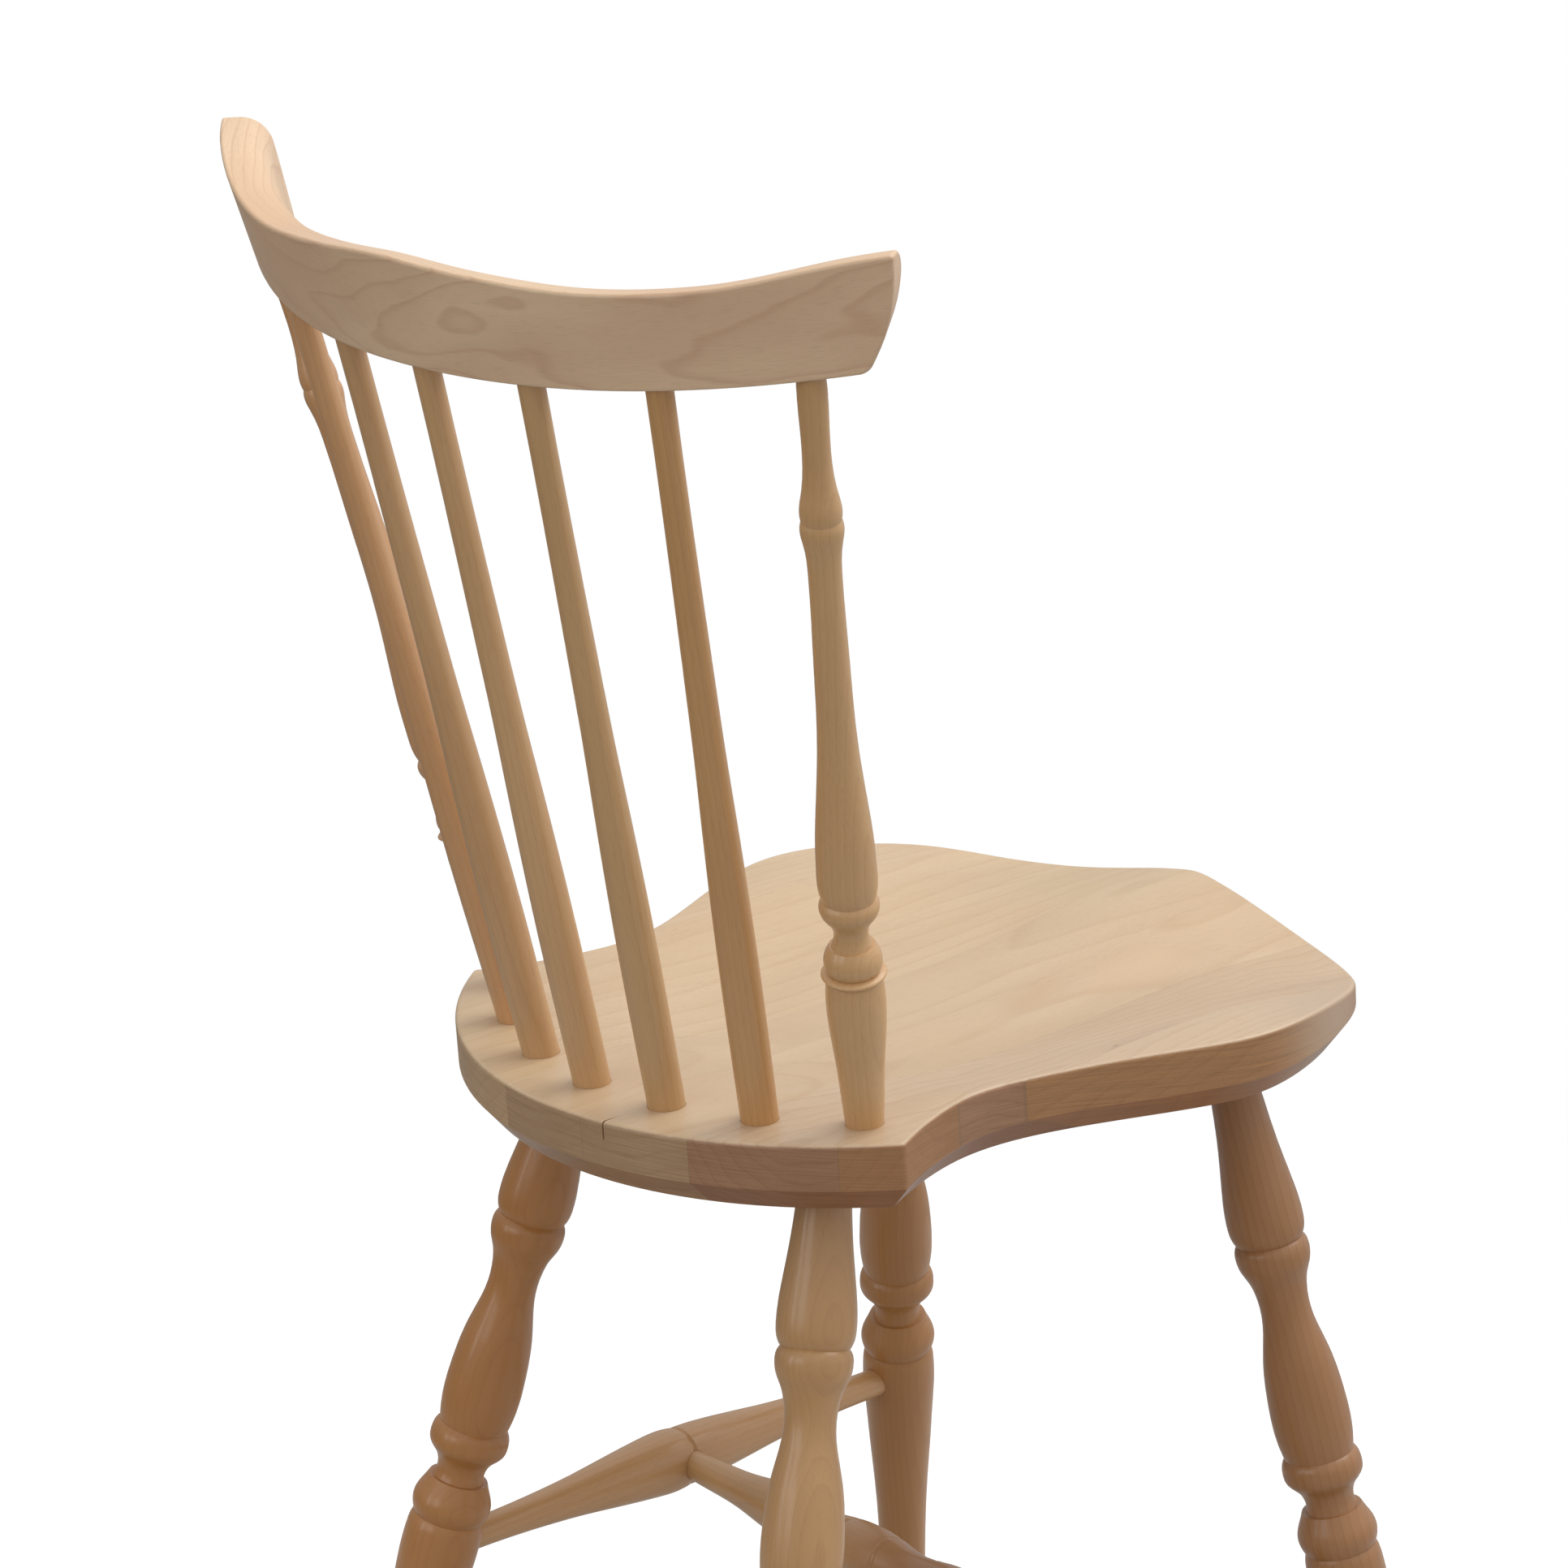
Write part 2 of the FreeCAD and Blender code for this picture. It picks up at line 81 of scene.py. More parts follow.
def mapRange(tree, value, low, high, newLow, newHigh, place, smooth=False):
    node = addNode(tree, "ShaderNodeMapRange", place)
    if smooth:
        node.interpolation_type = "SMOOTHSTEP"
    feed(tree, value, node.inputs["Value"])
    for name, number in (("From Min", low), ("From Max", high), ("To Min", newLow), ("To Max", newHigh)):
        if isinstance(number, (int, float)):
            node.inputs[name].default_value = number
        else:
            feed(tree, number, node.inputs[name])
    return node.outputs["Result"]


def newGroup(name, inputs, outputs):
    group = bpy.data.node_groups.new(name, "ShaderNodeTree")
    for label, kind, default in inputs:
        socket = group.interface.new_socket(label, in_out="INPUT", socket_type=kind)
        if default is not None:
            socket.default_value = default
    for label, kind in outputs:
        group.interface.new_socket(label, in_out="OUTPUT", socket_type=kind)
    return group, addNode(group, "NodeGroupInput", (-4, 0)), addNode(group, "NodeGroupOutput", (8, 0))


def placeGroup(tree, group, place, values):
    node = addNode(tree, "ShaderNodeGroup", place, node_tree=group)
    for name, value in values.items():
        if isinstance(value, (int, float, tuple)):
            node.inputs[name].default_value = value
        else:
            feed(tree, value, node.inputs[name])
    return node


def addNoise(tree, vector, place, detail, roughness=0.5, scale=1):
    noise = addNode(tree, "ShaderNodeTexNoise", place)
    noise.inputs["Scale"].default_value = scale
    noise.inputs["Detail"].default_value = detail
    noise.inputs["Roughness"].default_value = roughness
    feed(tree, vector, noise.inputs["Vector"])
    return noise.outputs[0]


def stretched(tree, vector, amount, place):
    # space drawn out by a fixed amount or by another vector
    node = addNode(tree, "ShaderNodeVectorMath", place, operation="MULTIPLY")
    feed(tree, vector, node.inputs[0])
    if isinstance(amount, tuple):
        node.inputs[1].default_value = amount
    else:
        feed(tree, amount, node.inputs[1])
    return node.outputs[0]


# Effects that every wood shares. Grain space is in metres with Z along the fibres.

ringShape = {
    "wobbleDetail": 2.5,
    "wobbleRoughness": 0.45,
    "wobbleReach": 4.0,      # times the waviness
    "climbEnd": 0.86,        # shares of one year's growth
    "dropStart": 0.90,
    "lateStart": 0.70,
}


def growthRingsGroup():
    # yearly rings round a pith that lies outside the piece, as on sawn and turned stock
    group, start, end = newGroup(
        "growthRings",
        [("Grain Space", "NodeSocketVector", None), ("Pith X", "NodeSocketFloat", 0.08),
         ("Pith Y", "NodeSocketFloat", 0.02), ("Ring Width", "NodeSocketFloat", 0.004),
         ("Waviness", "NodeSocketFloat", 0.006), ("Wander", "NodeSocketVector", (14, 14, 4)),
         ("Lean", "NodeSocketFloat", 0.03)],
        [("Rings", "NodeSocketFloat"), ("Late Wood", "NodeSocketFloat")])
    parts = addNode(group, "ShaderNodeSeparateXYZ", (-3, 0))
    feed(group, start.outputs["Grain Space"], parts.inputs[0])
    slow = stretched(group, start.outputs["Grain Space"], start.outputs["Wander"], (-3, 2))
    wobble = addNoise(group, slow, (-2, 2), ringShape["wobbleDetail"], ringShape["wobbleRoughness"])
    centred = mathNode(group, "SUBTRACT", wobble, 0.5, (-1, 2))
    shifted = mathNode(group, "MULTIPLY", centred, start.outputs["Waviness"], (0, 2))
    leaned = mathNode(group, "MULTIPLY", parts.outputs[2], start.outputs["Lean"], (-1, 3))
    across = mathNode(group, "SUBTRACT", parts.outputs[0], start.outputs["Pith X"], (-2, 0))
    across = mathNode(group, "ADD", across, leaned, (-1, 0))
    upward = mathNode(group, "SUBTRACT", parts.outputs[1], start.outputs["Pith Y"], (-2, 1))
    squares = mathNode(group, "ADD", mathNode(group, "MULTIPLY", across, across, (0, 0)),
                       mathNode(group, "MULTIPLY", upward, upward, (0, 1)), (1, 0))
    radius = mathNode(group, "ADD", mathNode(group, "SQRT", squares, None, (2, 0)),
                      mathNode(group, "MULTIPLY", shifted, ringShape["wobbleReach"], (1, 2)), (3, 0))
    count = mathNode(group, "DIVIDE", radius, start.outputs["Ring Width"], (4, 0))
    share = mathNode(group, "FRACT", count, None, (5, 0))
    # the tone climbs slowly through a year and drops back quickly
    climb = mapRange(group, share, 0.0, ringShape["climbEnd"], 0.0, 1.0, (6, 0), smooth=True)
    drop = mapRange(group, share, ringShape["dropStart"], 1.0, 1.0, 0.0, (6, 1), smooth=True)
    feed(group, mathNode(group, "MULTIPLY", climb, drop, (7, 0)), end.inputs["Rings"])
    line = mapRange(group, share, ringShape["lateStart"], ringShape["dropStart"],
                    0.0, 1.0, (6, 2), smooth=True)
    feed(group, mathNode(group, "MULTIPLY", line, drop, (7, 1)), end.inputs["Late Wood"])
    return group


fibreShape = {
    "fine": (1500, 1500, 26),     # streaks to the metre, across the grain and along it
    "fineDetail": 2,
    "broad": (260, 260, 5),
    "broadDetail": 3,
    "broadShare": 0.5,
    "pores": (2300, 2300, 120),
    "poreEdge": 0.05,
    "poreSink": 0.5,              # how far pores lie below the fibres
}


def fibresGroup():
    # fine straight fibres with short dark pores between them
    group, start, end = newGroup(
        "fibres",
        [("Grain Space", "NodeSocketVector", None), ("Pore Share", "NodeSocketFloat", 0.34)],
        [("Fibre", "NodeSocketFloat"), ("Pores", "NodeSocketFloat"), ("Height", "NodeSocketFloat")])

    def streaks(kind, detail, row):
        drawn = stretched(group, start.outputs["Grain Space"], fibreShape[kind], (-2, row))
        return addNoise(group, drawn, (-1, row), detail)

    blend = addNode(group, "ShaderNodeMix", (1, 0), data_type="FLOAT")
    blend.inputs["Factor"].default_value = fibreShape["broadShare"]
    feed(group, streaks("fine", fibreShape["fineDetail"], 0), blend.inputs[numberMix["first"]])
    feed(group, streaks("broad", fibreShape["broadDetail"], 1), blend.inputs[numberMix["second"]])
    blended = blend.outputs[numberMix["result"]]
    feed(group, blended, end.inputs["Fibre"])
    share = start.outputs["Pore Share"]
    upper = mathNode(group, "ADD", share, fibreShape["poreEdge"], (1, 3))
    pores = mapRange(group, streaks("pores", 0, 2), share, upper, 1.0, 0.0, (2, 2), smooth=True)
    feed(group, pores, end.inputs["Pores"])
    sunk = mathNode(group, "MULTIPLY", pores, fibreShape["poreSink"], (3, 2))
    feed(group, mathNode(group, "SUBTRACT", blended, sunk, (4, 1)), end.inputs["Height"])
    return group


handlingShape = {
    "cloud": (22, 22, 7),         # patches to the metre, across the grain and along it
    "cloudDetail": 3,
    "specks": (60, 60, 34),
    "speckCore": 0.028,
    "speckEdge": 0.050,
    "scuffs": 38,
    "scuffDetail": 5,
    "scuffRoughness": 0.62,
}


def handlingGroup():
    # slow cloudy tone, small specks and light handling marks in the lacquer
    group, start, end = newGroup(
        "handling",
        [("Grain Space", "NodeSocketVector", None), ("Speck Share", "NodeSocketFloat", 0.02)],
        [("Cloud", "NodeSocketFloat"), ("Specks", "NodeSocketFloat"), ("Scuffs", "NodeSocketFloat")])
    space = start.outputs["Grain Space"]
    slow = stretched(group, space, handlingShape["cloud"], (-3, 0))
    feed(group, addNoise(group, slow, (-2, 0), handlingShape["cloudDetail"]), end.inputs["Cloud"])
    cells = addNode(group, "ShaderNodeTexVoronoi", (-2, 1), feature="F1")
    cells.inputs["Scale"].default_value = 1
    feed(group, stretched(group, space, handlingShape["specks"], (-3, 1)), cells.inputs["Vector"])
    near = mapRange(group, cells.outputs["Distance"], handlingShape["speckCore"],
                    handlingShape["speckEdge"], 1.0, 0.0, (-1, 1), smooth=True)
    chosen = addNode(group, "ShaderNodeSeparateColor", (-1, 2))
    feed(group, cells.outputs["Color"], chosen.inputs[0])
    rare = mathNode(group, "LESS_THAN", chosen.outputs[0], start.outputs["Speck Share"], (0, 2))
    feed(group, mathNode(group, "MULTIPLY", near, rare, (1, 1)), end.inputs["Specks"])
    rub = addNoise(group, space, (-2, 4), handlingShape["scuffDetail"],
                   handlingShape["scuffRoughness"], handlingShape["scuffs"])
    feed(group, rub, end.inputs["Scuffs"])
    return group


faceTurn = {
    "side": (0.35, 0.85),         # how far a face looks up where side turns to top
    "underside": (-0.75, 0.0),
}


def facesGroup():
    # tells the sides and the underside of the seat from its top, for the painted shade there
    group, start, end = newGroup(
        "faces", [("Up", "NodeSocketVector", (0, 0, 1))],
        [("Side", "NodeSocketFloat"), ("Underside", "NodeSocketFloat")])
    place = addNode(group, "ShaderNodeTexCoord", (-3, 0))
    rise = addNode(group, "ShaderNodeVectorMath", (-2, 0), operation="DOT_PRODUCT")
    feed(group, place.outputs["Normal"], rise.inputs[0])
    feed(group, start.outputs["Up"], rise.inputs[1])
    for row, (kind, output) in enumerate((("side", "Side"), ("underside", "Underside"))):
        low, high = faceTurn[kind]
        part = mapRange(group, rise.outputs["Value"], low, high, 1.0, 0.0, (0, row), smooth=True)
        feed(group, part, end.inputs[output])
    return group


def blotchGroup():
    # one soft-edged oval mark at a place on the piece
    group, start, end = newGroup(
        "blotch",
        [("Centre", "NodeSocketVector", None), ("Stretch", "NodeSocketVector", (1, 1, 1)),
         ("Radius", "NodeSocketFloat", 0.002), ("Softness", "NodeSocketFloat", 0.5)],
        [("Mark", "NodeSocketFloat")])
    place = addNode(group, "ShaderNodeTexCoord", (-4, 0))
    offset = addNode(group, "ShaderNodeVectorMath", (-3, 0), operation="SUBTRACT")
    feed(group, place.outputs["Object"], offset.inputs[0])
    feed(group, start.outputs["Centre"], offset.inputs[1])
    sized = stretched(group, offset.outputs[0], start.outputs["Stretch"], (-2, 0))
    away = addNode(group, "ShaderNodeVectorMath", (-1, 0), operation="LENGTH")
    feed(group, sized, away.inputs[0])
    share = mathNode(group, "DIVIDE", away.outputs["Value"], start.outputs["Radius"], (0, 0))
    inner = mathNode(group, "SUBTRACT", 1.0, start.outputs["Softness"], (0, 1))
    feed(group, mapRange(group, share, inner, 1.0, 1.0, 0.0, (1, 0), smooth=True), end.inputs["Mark"])
    return group


glueLineCore = 0.3                # share of a line's width that is full


def glueLinesGroup():
    # thin dark lines where the seat boards meet, at these distances from the middle
    group, start, end = newGroup(
        "glueLines",
        [("Inner", "NodeSocketFloat", 0.029), ("Middle", "NodeSocketFloat", 0.087),
         ("Outer", "NodeSocketFloat", 0.1455), ("Line Width", "NodeSocketFloat", 0.0003)],
        [("Line", "NodeSocketFloat")])
    place = addNode(group, "ShaderNodeTexCoord", (-5, 0))
    parts = addNode(group, "ShaderNodeSeparateXYZ", (-4, 0))
    feed(group, place.outputs["Object"], parts.inputs[0])
    across = mathNode(group, "ABSOLUTE", parts.outputs[0], None, (-3, 0))
    nearest = None
    for row, joint in enumerate(("Inner", "Middle", "Outer")):
        gap = mathNode(group, "SUBTRACT", across, start.outputs[joint], (-2, row))
        gap = mathNode(group, "ABSOLUTE", gap, None, (-1, row))
        nearest = gap if nearest is None else mathNode(group, "MINIMUM", nearest, gap, (row, 0))
    share = mathNode(group, "DIVIDE", nearest, start.outputs["Line Width"], (3, 0))
    line = mapRange(group, share, glueLineCore, 1.0, 1.0, 0.0, (4, 0), smooth=True)
    feed(group, line, end.inputs["Line"])
    return group


sandingDetail = 3


def sandingGroup():
    # short level scratches left by sanding the edge of the seat
    group, start, end = newGroup("sanding", [("Stretch", "NodeSocketVector", (24, 24, 1300))],
                                 [("Scratches", "NodeSocketFloat")])
    place = addNode(group, "ShaderNodeTexCoord", (-3, 0))
    drawn = stretched(group, place.outputs["Object"], start.outputs["Stretch"], (-2, 0))
    feed(group, addNoise(group, drawn, (-1, 0), sandingDetail), end.inputs["Scratches"])
    return group


growthRings = growthRingsGroup()
fibres = fibresGroup()
handling = handlingGroup()
faces = facesGroup()
blotch = blotchGroup()
glueLines = glueLinesGroup()
sanding = sandingGroup()
print("shared wood effects built")


# Where each piece's fibres run

def longAxis(piece):
    # middle and long direction of a turned piece, from its own vertices
    points = np.empty(len(piece.data.vertices) * 3)
    piece.data.vertices.foreach_get("co", points)
    points = points.reshape(-1, 3)
    middle = points.mean(axis=0)
    values, vectors = np.linalg.eigh(np.cov((points - middle).T))
    direction = Vector(vectors[:, -1])
    if direction.z < 0:
        direction.negate()
    return Vector(middle), direction


def straightGrain(tree, origin, direction, turn, shift):
    # object space turned so that Z runs along the fibres
    toZ = direction.to_track_quat("Z", "Y").to_matrix().to_4x4().inverted()
    spin = Matrix.Rotation(turn, 4, "Z")
    whole = spin @ toZ
    mapping = addNode(tree, "ShaderNodeMapping", (-7, 0), vector_type="POINT")
    mapping.inputs["Rotation"].default_value = whole.to_euler("XYZ")
    mapping.inputs["Location"].default_value = whole @ (-origin) + Vector(shift)
    place = addNode(tree, "ShaderNodeTexCoord", (-8, 0))
    feed(tree, place.outputs["Object"], mapping.inputs["Vector"])
    return mapping.outputs[0]


def bentGrain(tree, axisPoint, lean, radius):
    # fibres that follow the bend of the rail: X through its thickness, Y up its face
    place = addNode(tree, "ShaderNodeTexCoord", (-12, 0))
    mapping = addNode(tree, "ShaderNodeMapping", (-11, 0), vector_type="POINT")
    upright = Matrix.Rotation(lean, 4, "X")
    mapping.inputs["Rotation"].default_value = upright.to_euler("XYZ")
    mapping.inputs["Location"].default_value = upright @ (-axisPoint)
    feed(tree, place.outputs["Object"], mapping.inputs["Vector"])
    parts = addNode(tree, "ShaderNodeSeparateXYZ", (-10, 0))
    feed(tree, mapping.outputs[0], parts.inputs[0])
    squares = mathNode(tree, "ADD",
                       mathNode(tree, "MULTIPLY", parts.outputs[0], parts.outputs[0], (-9, 0)),
                       mathNode(tree, "MULTIPLY", parts.outputs[1], parts.outputs[1], (-9, 1)), (-9, 2))
    depth = mathNode(tree, "SUBTRACT", mathNode(tree, "SQRT", squares, None, (-8, 1)), radius, (-8, 2))
    angle = mathNode(tree, "ARCTAN2", parts.outputs[0], parts.outputs[1], (-9, 3))
    along = mathNode(tree, "MULTIPLY", angle, radius, (-8, 3))
    joined = addNode(tree, "ShaderNodeCombineXYZ", (-7, 1))
    for index, part in enumerate((depth, parts.outputs[2], along)):
        feed(tree, part, joined.inputs[index])
    return joined.outputs[0]


# The wood itself

speckTone = (0.20, 0.12, 0.07)
woodDefaults = {
    "pale": (0.62, 0.47, 0.31),
    "dark": (0.50, 0.355, 0.22),
    "streak": (0.52, 0.36, 0.24),
    "speck": speckTone,
    "ringWidth": 0.006,
    "ringDepth": 0.14,
    "lateDepth": 0.26,
    "waviness": 0.006,
    "wander": (14, 14, 4),
    "ringLean": 0.03,
    "pith": (0.09, 0.03),
    "fibreDepth": 0.16,
    "poreDepth": 0.10,
    "poreShare": 0.33,
    "cloudDepth": 0.35,
    "speckShare": 0.01,
    "speckDepth": 0.8,
    "roughness": (0.40, 0.52),
    "coat": 0.2,
    "coatRoughness": 0.25,
    "bump": 0.08,
    "bumpHeight": 0.0004,         # metres
    "sideShadeAndGrainTone": None,             # multiplies the colour on the seat's sides: painted shade, partly their darker end grain
    # multiplies the colour on the seat's underside: painted shade
    "undersideShadeTone": None,
    "scratchTone": (0.84, 1.12),
    "jointTone": (0.10, 0.42),    # strength of the glue lines on the top and on the sides
    "marks": (),
}
noiseSpan = {                     # the part of each noise that covers the whole of its effect
    "cloud": (0.35, 0.70),
    "fibre": (0.35, 0.65),
    "scuff": (0.30, 0.70),
    "scratch": (0.30, 0.70),
}
darkerShare = (0.80, 0.75, 0.69)
streakShare = (0.83, 0.74, 0.65)


def shades(pale):
    # the pale wood of a piece with its darker fibres and its late wood
    return {"pale": pale,
            "dark": tuple(part * share for part, share in zip(pale, darkerShare)),
            "streak": tuple(part * share for part, share in zip(pale, streakShare))}


def mark(place, radius, tone, strength, softness=0.9, stretch=(1, 1, 1)):
    # a soft oval of another tone, placed in metres from the chair's origin
    return {"place": place, "radius": radius, "tone": tone, "strength": strength,
            "softness": softness, "stretch": stretch}


def speck(place, radius, strength=0.8):
    return mark(place, radius, speckTone, strength, softness=0.5, stretch=(1, 0.6, 0.1))


def spread(tree, noise, kind, low, high, place, smooth=False):
    # a noise stretched to run from one value to another
    return mapRange(tree, noise, *noiseSpan[kind], low, high, place, smooth=smooth)


def seatSides(tree, colour, look):
    # painted shade: edges and underside are darkened against the top, the edges partly for their darker
    # end grain; the glue lines show best on the edges
    facing = placeGroup(tree, faces, (-1, 8), {"Up": tuple(seatUp)})
    scratched = placeGroup(tree, sanding, (-1, 9), {})
    scratches = spread(tree, scratched.outputs["Scratches"], "scratch", *look["scratchTone"], (0, 9))
    tone = addNode(tree, "ShaderNodeVectorMath", (1, 9), operation="SCALE")
    tone.inputs[0].default_value = look["sideShadeAndGrainTone"]
    feed(tree, scratches, tone.inputs["Scale"])
    shaded = mixColour(tree, 1.0, colour, tone.outputs[0], (1, 8), blend="MULTIPLY")
    colour = mixColour(tree, facing.outputs["Side"], colour, shaded, (2, 8))
    below = mixColour(tree, 1.0, colour, look["undersideShadeTone"], (2, 9), blend="MULTIPLY")
    colour = mixColour(tree, facing.outputs["Underside"], colour, below, (3, 8))
    joint = placeGroup(tree, glueLines, (2, 10), {})
    seen = mapRange(tree, facing.outputs["Side"], 0.0, 1.0, *look["jointTone"], (3, 10))
    seen = mathNode(tree, "MULTIPLY", seen, joint.outputs["Line"], (4, 10))
    return mixColour(tree, seen, colour, look["speck"], (5, 8))


def woodMaterial(name, grain, changes):
    look = {**woodDefaults, **changes}
    material = bpy.data.materials.new(name)
    material.use_nodes = True
    tree = material.node_tree
    tree.nodes.clear()
    space = grain(tree)
    rings = placeGroup(tree, growthRings, (-5, 0), {
        "Grain Space": space,
        "Pith X": look["pith"][0],
        "Pith Y": look["pith"][1],
        "Ring Width": look["ringWidth"],
        "Waviness": look["waviness"],
        "Wander": look["wander"],
        "Lean": look["ringLean"],
    })
    fibre = placeGroup(tree, fibres, (-5, 2), {"Grain Space": space, "Pore Share": look["poreShare"]})
    wear = placeGroup(tree, handling, (-5, 4), {"Grain Space": space, "Speck Share": look["speckShare"]})

    ringTone = mathNode(tree, "MULTIPLY", rings.outputs["Rings"], look["ringDepth"], (-4, 0))
    colour = mixColour(tree, ringTone, look["pale"], look["dark"], (-3, 0))
    lateTone = mathNode(tree, "MULTIPLY", rings.outputs["Late Wood"], look["lateDepth"], (-4, 1))
    colour = mixColour(tree, lateTone, colour, look["streak"], (-2, 0))
    cloudTone = spread(tree, wear.outputs["Cloud"], "cloud", 0.0, look["cloudDepth"], (-4, 4), smooth=True)
    colour = mixColour(tree, cloudTone, colour, look["streak"], (-1, 0))
    fibreTone = spread(tree, fibre.outputs["Fibre"], "fibre", 0.0, look["fibreDepth"], (-4, 2))
    colour = mixColour(tree, fibreTone, colour, look["dark"], (0, 0))
    poreTone = mathNode(tree, "MULTIPLY", fibre.outputs["Pores"], look["poreDepth"], (-4, 3))
    colour = mixColour(tree, poreTone, colour, look["speck"], (1, 0))
    speckDepth = mathNode(tree, "MULTIPLY", wear.outputs["Specks"], look["speckDepth"], (-4, 5))
    colour = mixColour(tree, speckDepth, colour, look["speck"], (2, 0))
    if look["sideShadeAndGrainTone"]:
        colour = seatSides(tree, colour, look)
    for row, spot in enumerate(look["marks"], start=4):
        oval = placeGroup(tree, blotch, (4, row), {
            "Centre": spot["place"],
            "Stretch": spot["stretch"],
            "Radius": spot["radius"],
            "Softness": spot["softness"],
        })
        depth = mathNode(tree, "MULTIPLY", oval.outputs["Mark"], spot["strength"], (5, row))
        colour = mixColour(tree, depth, colour, spot["tone"], (6, row))

    shader = addNode(tree, "ShaderNodeBsdfPrincipled", (8, 0))
    feed(tree, colour, shader.inputs["Base Color"])
    rubbed = spread(tree, wear.outputs["Scuffs"], "scuff", *look["roughness"], (7, 2))
    feed(tree, rubbed, shader.inputs["Roughness"])
    shader.inputs["Coat Weight"].default_value = look["coat"]
    shader.inputs["Coat Roughness"].default_value = look["coatRoughness"]
    bump = addNode(tree, "ShaderNodeBump", (7, 4))
    bump.inputs["Strength"].default_value = look["bump"]
    bump.inputs["Distance"].default_value = look["bumpHeight"]
    feed(tree, fibre.outputs["Height"], bump.inputs["Height"])
    feed(tree, bump.outputs[0], shader.inputs["Normal"])
    output = addNode(tree, "ShaderNodeOutputMaterial", (10, 0))
    feed(tree, shader.outputs[0], output.inputs["Surface"])
    return material


def dress(name, grain, changes):
    piece = nodes[name]
    material = woodMaterial("wood_" + name, grain, changes)
    piece.data.materials.clear()
    piece.data.materials.append(material)


# Seat boards: grain from front to back, each board its own tone
seatUp = seatTilt.to_3x3() @ Vector((0, 0, 1))
seatGrain = seatTilt.to_3x3() @ Vector((0, 1, 0))
# painted shade on the seat's sides and underside, partly darker end grain on the sides; the far side is
# darkened less
boardDefaults = {
    "sideShadeAndGrainTone": (0.66, 0.57, 0.49),
    "undersideShadeTone": (0.90, 0.72, 0.52),
}
farSideShadeAndGrainTone = (0.80, 0.71, 0.62)
figureTone = (0.42, 0.27, 0.18)
seatBoards = {
    "seat_board_1": {
        **shades((0.575, 0.42, 0.275)),
        "sideShadeAndGrainTone": (0.59, 0.42, 0.33),
        "pith": (0.05, 0.06),
        "ringWidth": 0.008,
        "waviness": 0.016,
        "wander": (16, 16, 9),
        "ringDepth": 0.20,
        "lateDepth": 0.45,
        "marks": (
            speck((-0.1425, -0.0617, 0.4496), 0.0012),
            mark((-0.146, -0.078, 0.451), 0.050, figureTone, 0.34, softness=0.8, stretch=(3.2, 1, 1)),
            mark((-0.134, -0.185, 0.459), 0.060, figureTone, 0.30, softness=0.8, stretch=(4.5, 1, 1)),
        ),
    },
    "seat_board_2": {
        **shades((0.595, 0.435, 0.275)),
        "pith": (0.02, 0.14),
        "ringWidth": 0.008,
        "lateDepth": 0.4,
        "marks": (
            speck((-0.0517, -0.0655, 0.4499), 0.0012, strength=0.7),
            speck((-0.0343, -0.1015, 0.4527), 0.0009, strength=0.6),
            mark((-0.060, -0.150, 0.4565), 0.045, (0.68, 0.47, 0.29), 0.45, stretch=(1.6, 1, 1)),
        ),
    },
    "seat_board_3": {
        **shades((0.595, 0.438, 0.278)),
        "pith": (0.03, 0.12),
        "ringWidth": 0.008,
        "marks": (speck((-0.016, -0.0601, 0.4495), 0.0011),),
    },
    "seat_board_4": {
        **shades((0.605, 0.445, 0.275)),
        "sideShadeAndGrainTone": farSideShadeAndGrainTone,
        "pith": (-0.02, 0.13),
        "ringWidth": 0.009,
    },
    "seat_board_5": {
        **shades((0.605, 0.445, 0.275)),
        "sideShadeAndGrainTone": farSideShadeAndGrainTone,
        "pith": (0.05, 0.11),
        "ringWidth": 0.009,
    },
    "seat_strip_left": {
        **shades((0.575, 0.42, 0.275)),
        "sideShadeAndGrainTone": (0.66, 0.45, 0.27),
        "pith": (0.04, 0.09),
        "waviness": 0.014,
        "lateDepth": 0.35,
        # painted highlight: a pale patch where the rounded near edge catches light, easing the painted
        # side shade
        "marks": (mark((-0.186, -0.182, 0.450), 0.070, (0.50, 0.37, 0.26), 0.80),),
    },
    "seat_strip_right": {
        **shades((0.60, 0.44, 0.28)),
        "pith": (0.04, 0.09),
    },
    "seat_corner_left": {
        **shades((0.575, 0.42, 0.275)),
        "sideShadeAndGrainTone": (0.62, 0.42, 0.27),
        "pith": (0.05, 0.08),
    },
    "seat_corner_right": {
        **shades((0.60, 0.44, 0.28)),
        "sideShadeAndGrainTone": farSideShadeAndGrainTone,
        "pith": (0.05, 0.08),
    },
}
boardStep = (0.37, 0.11, 0.83)    # takes each board from another stretch of wood


def shiftedLook(look, shift):
    # the pith moves with the wood, so that the rings keep their size
    return {**look, "pith": (look["pith"][0] + shift[0], look["pith"][1] + shift[1])}


for order, (name, changes) in enumerate(seatBoards.items()):
    low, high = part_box(name)
    middle = (low + high) / 2
    shift = tuple(step * order for step in boardStep)
    look = shiftedLook({**boardDefaults, **changes}, shift)
    dress(name, lambda tree: straightGrain(tree, middle, seatGrain, 0.0, shift), look)
print("seat dressed")


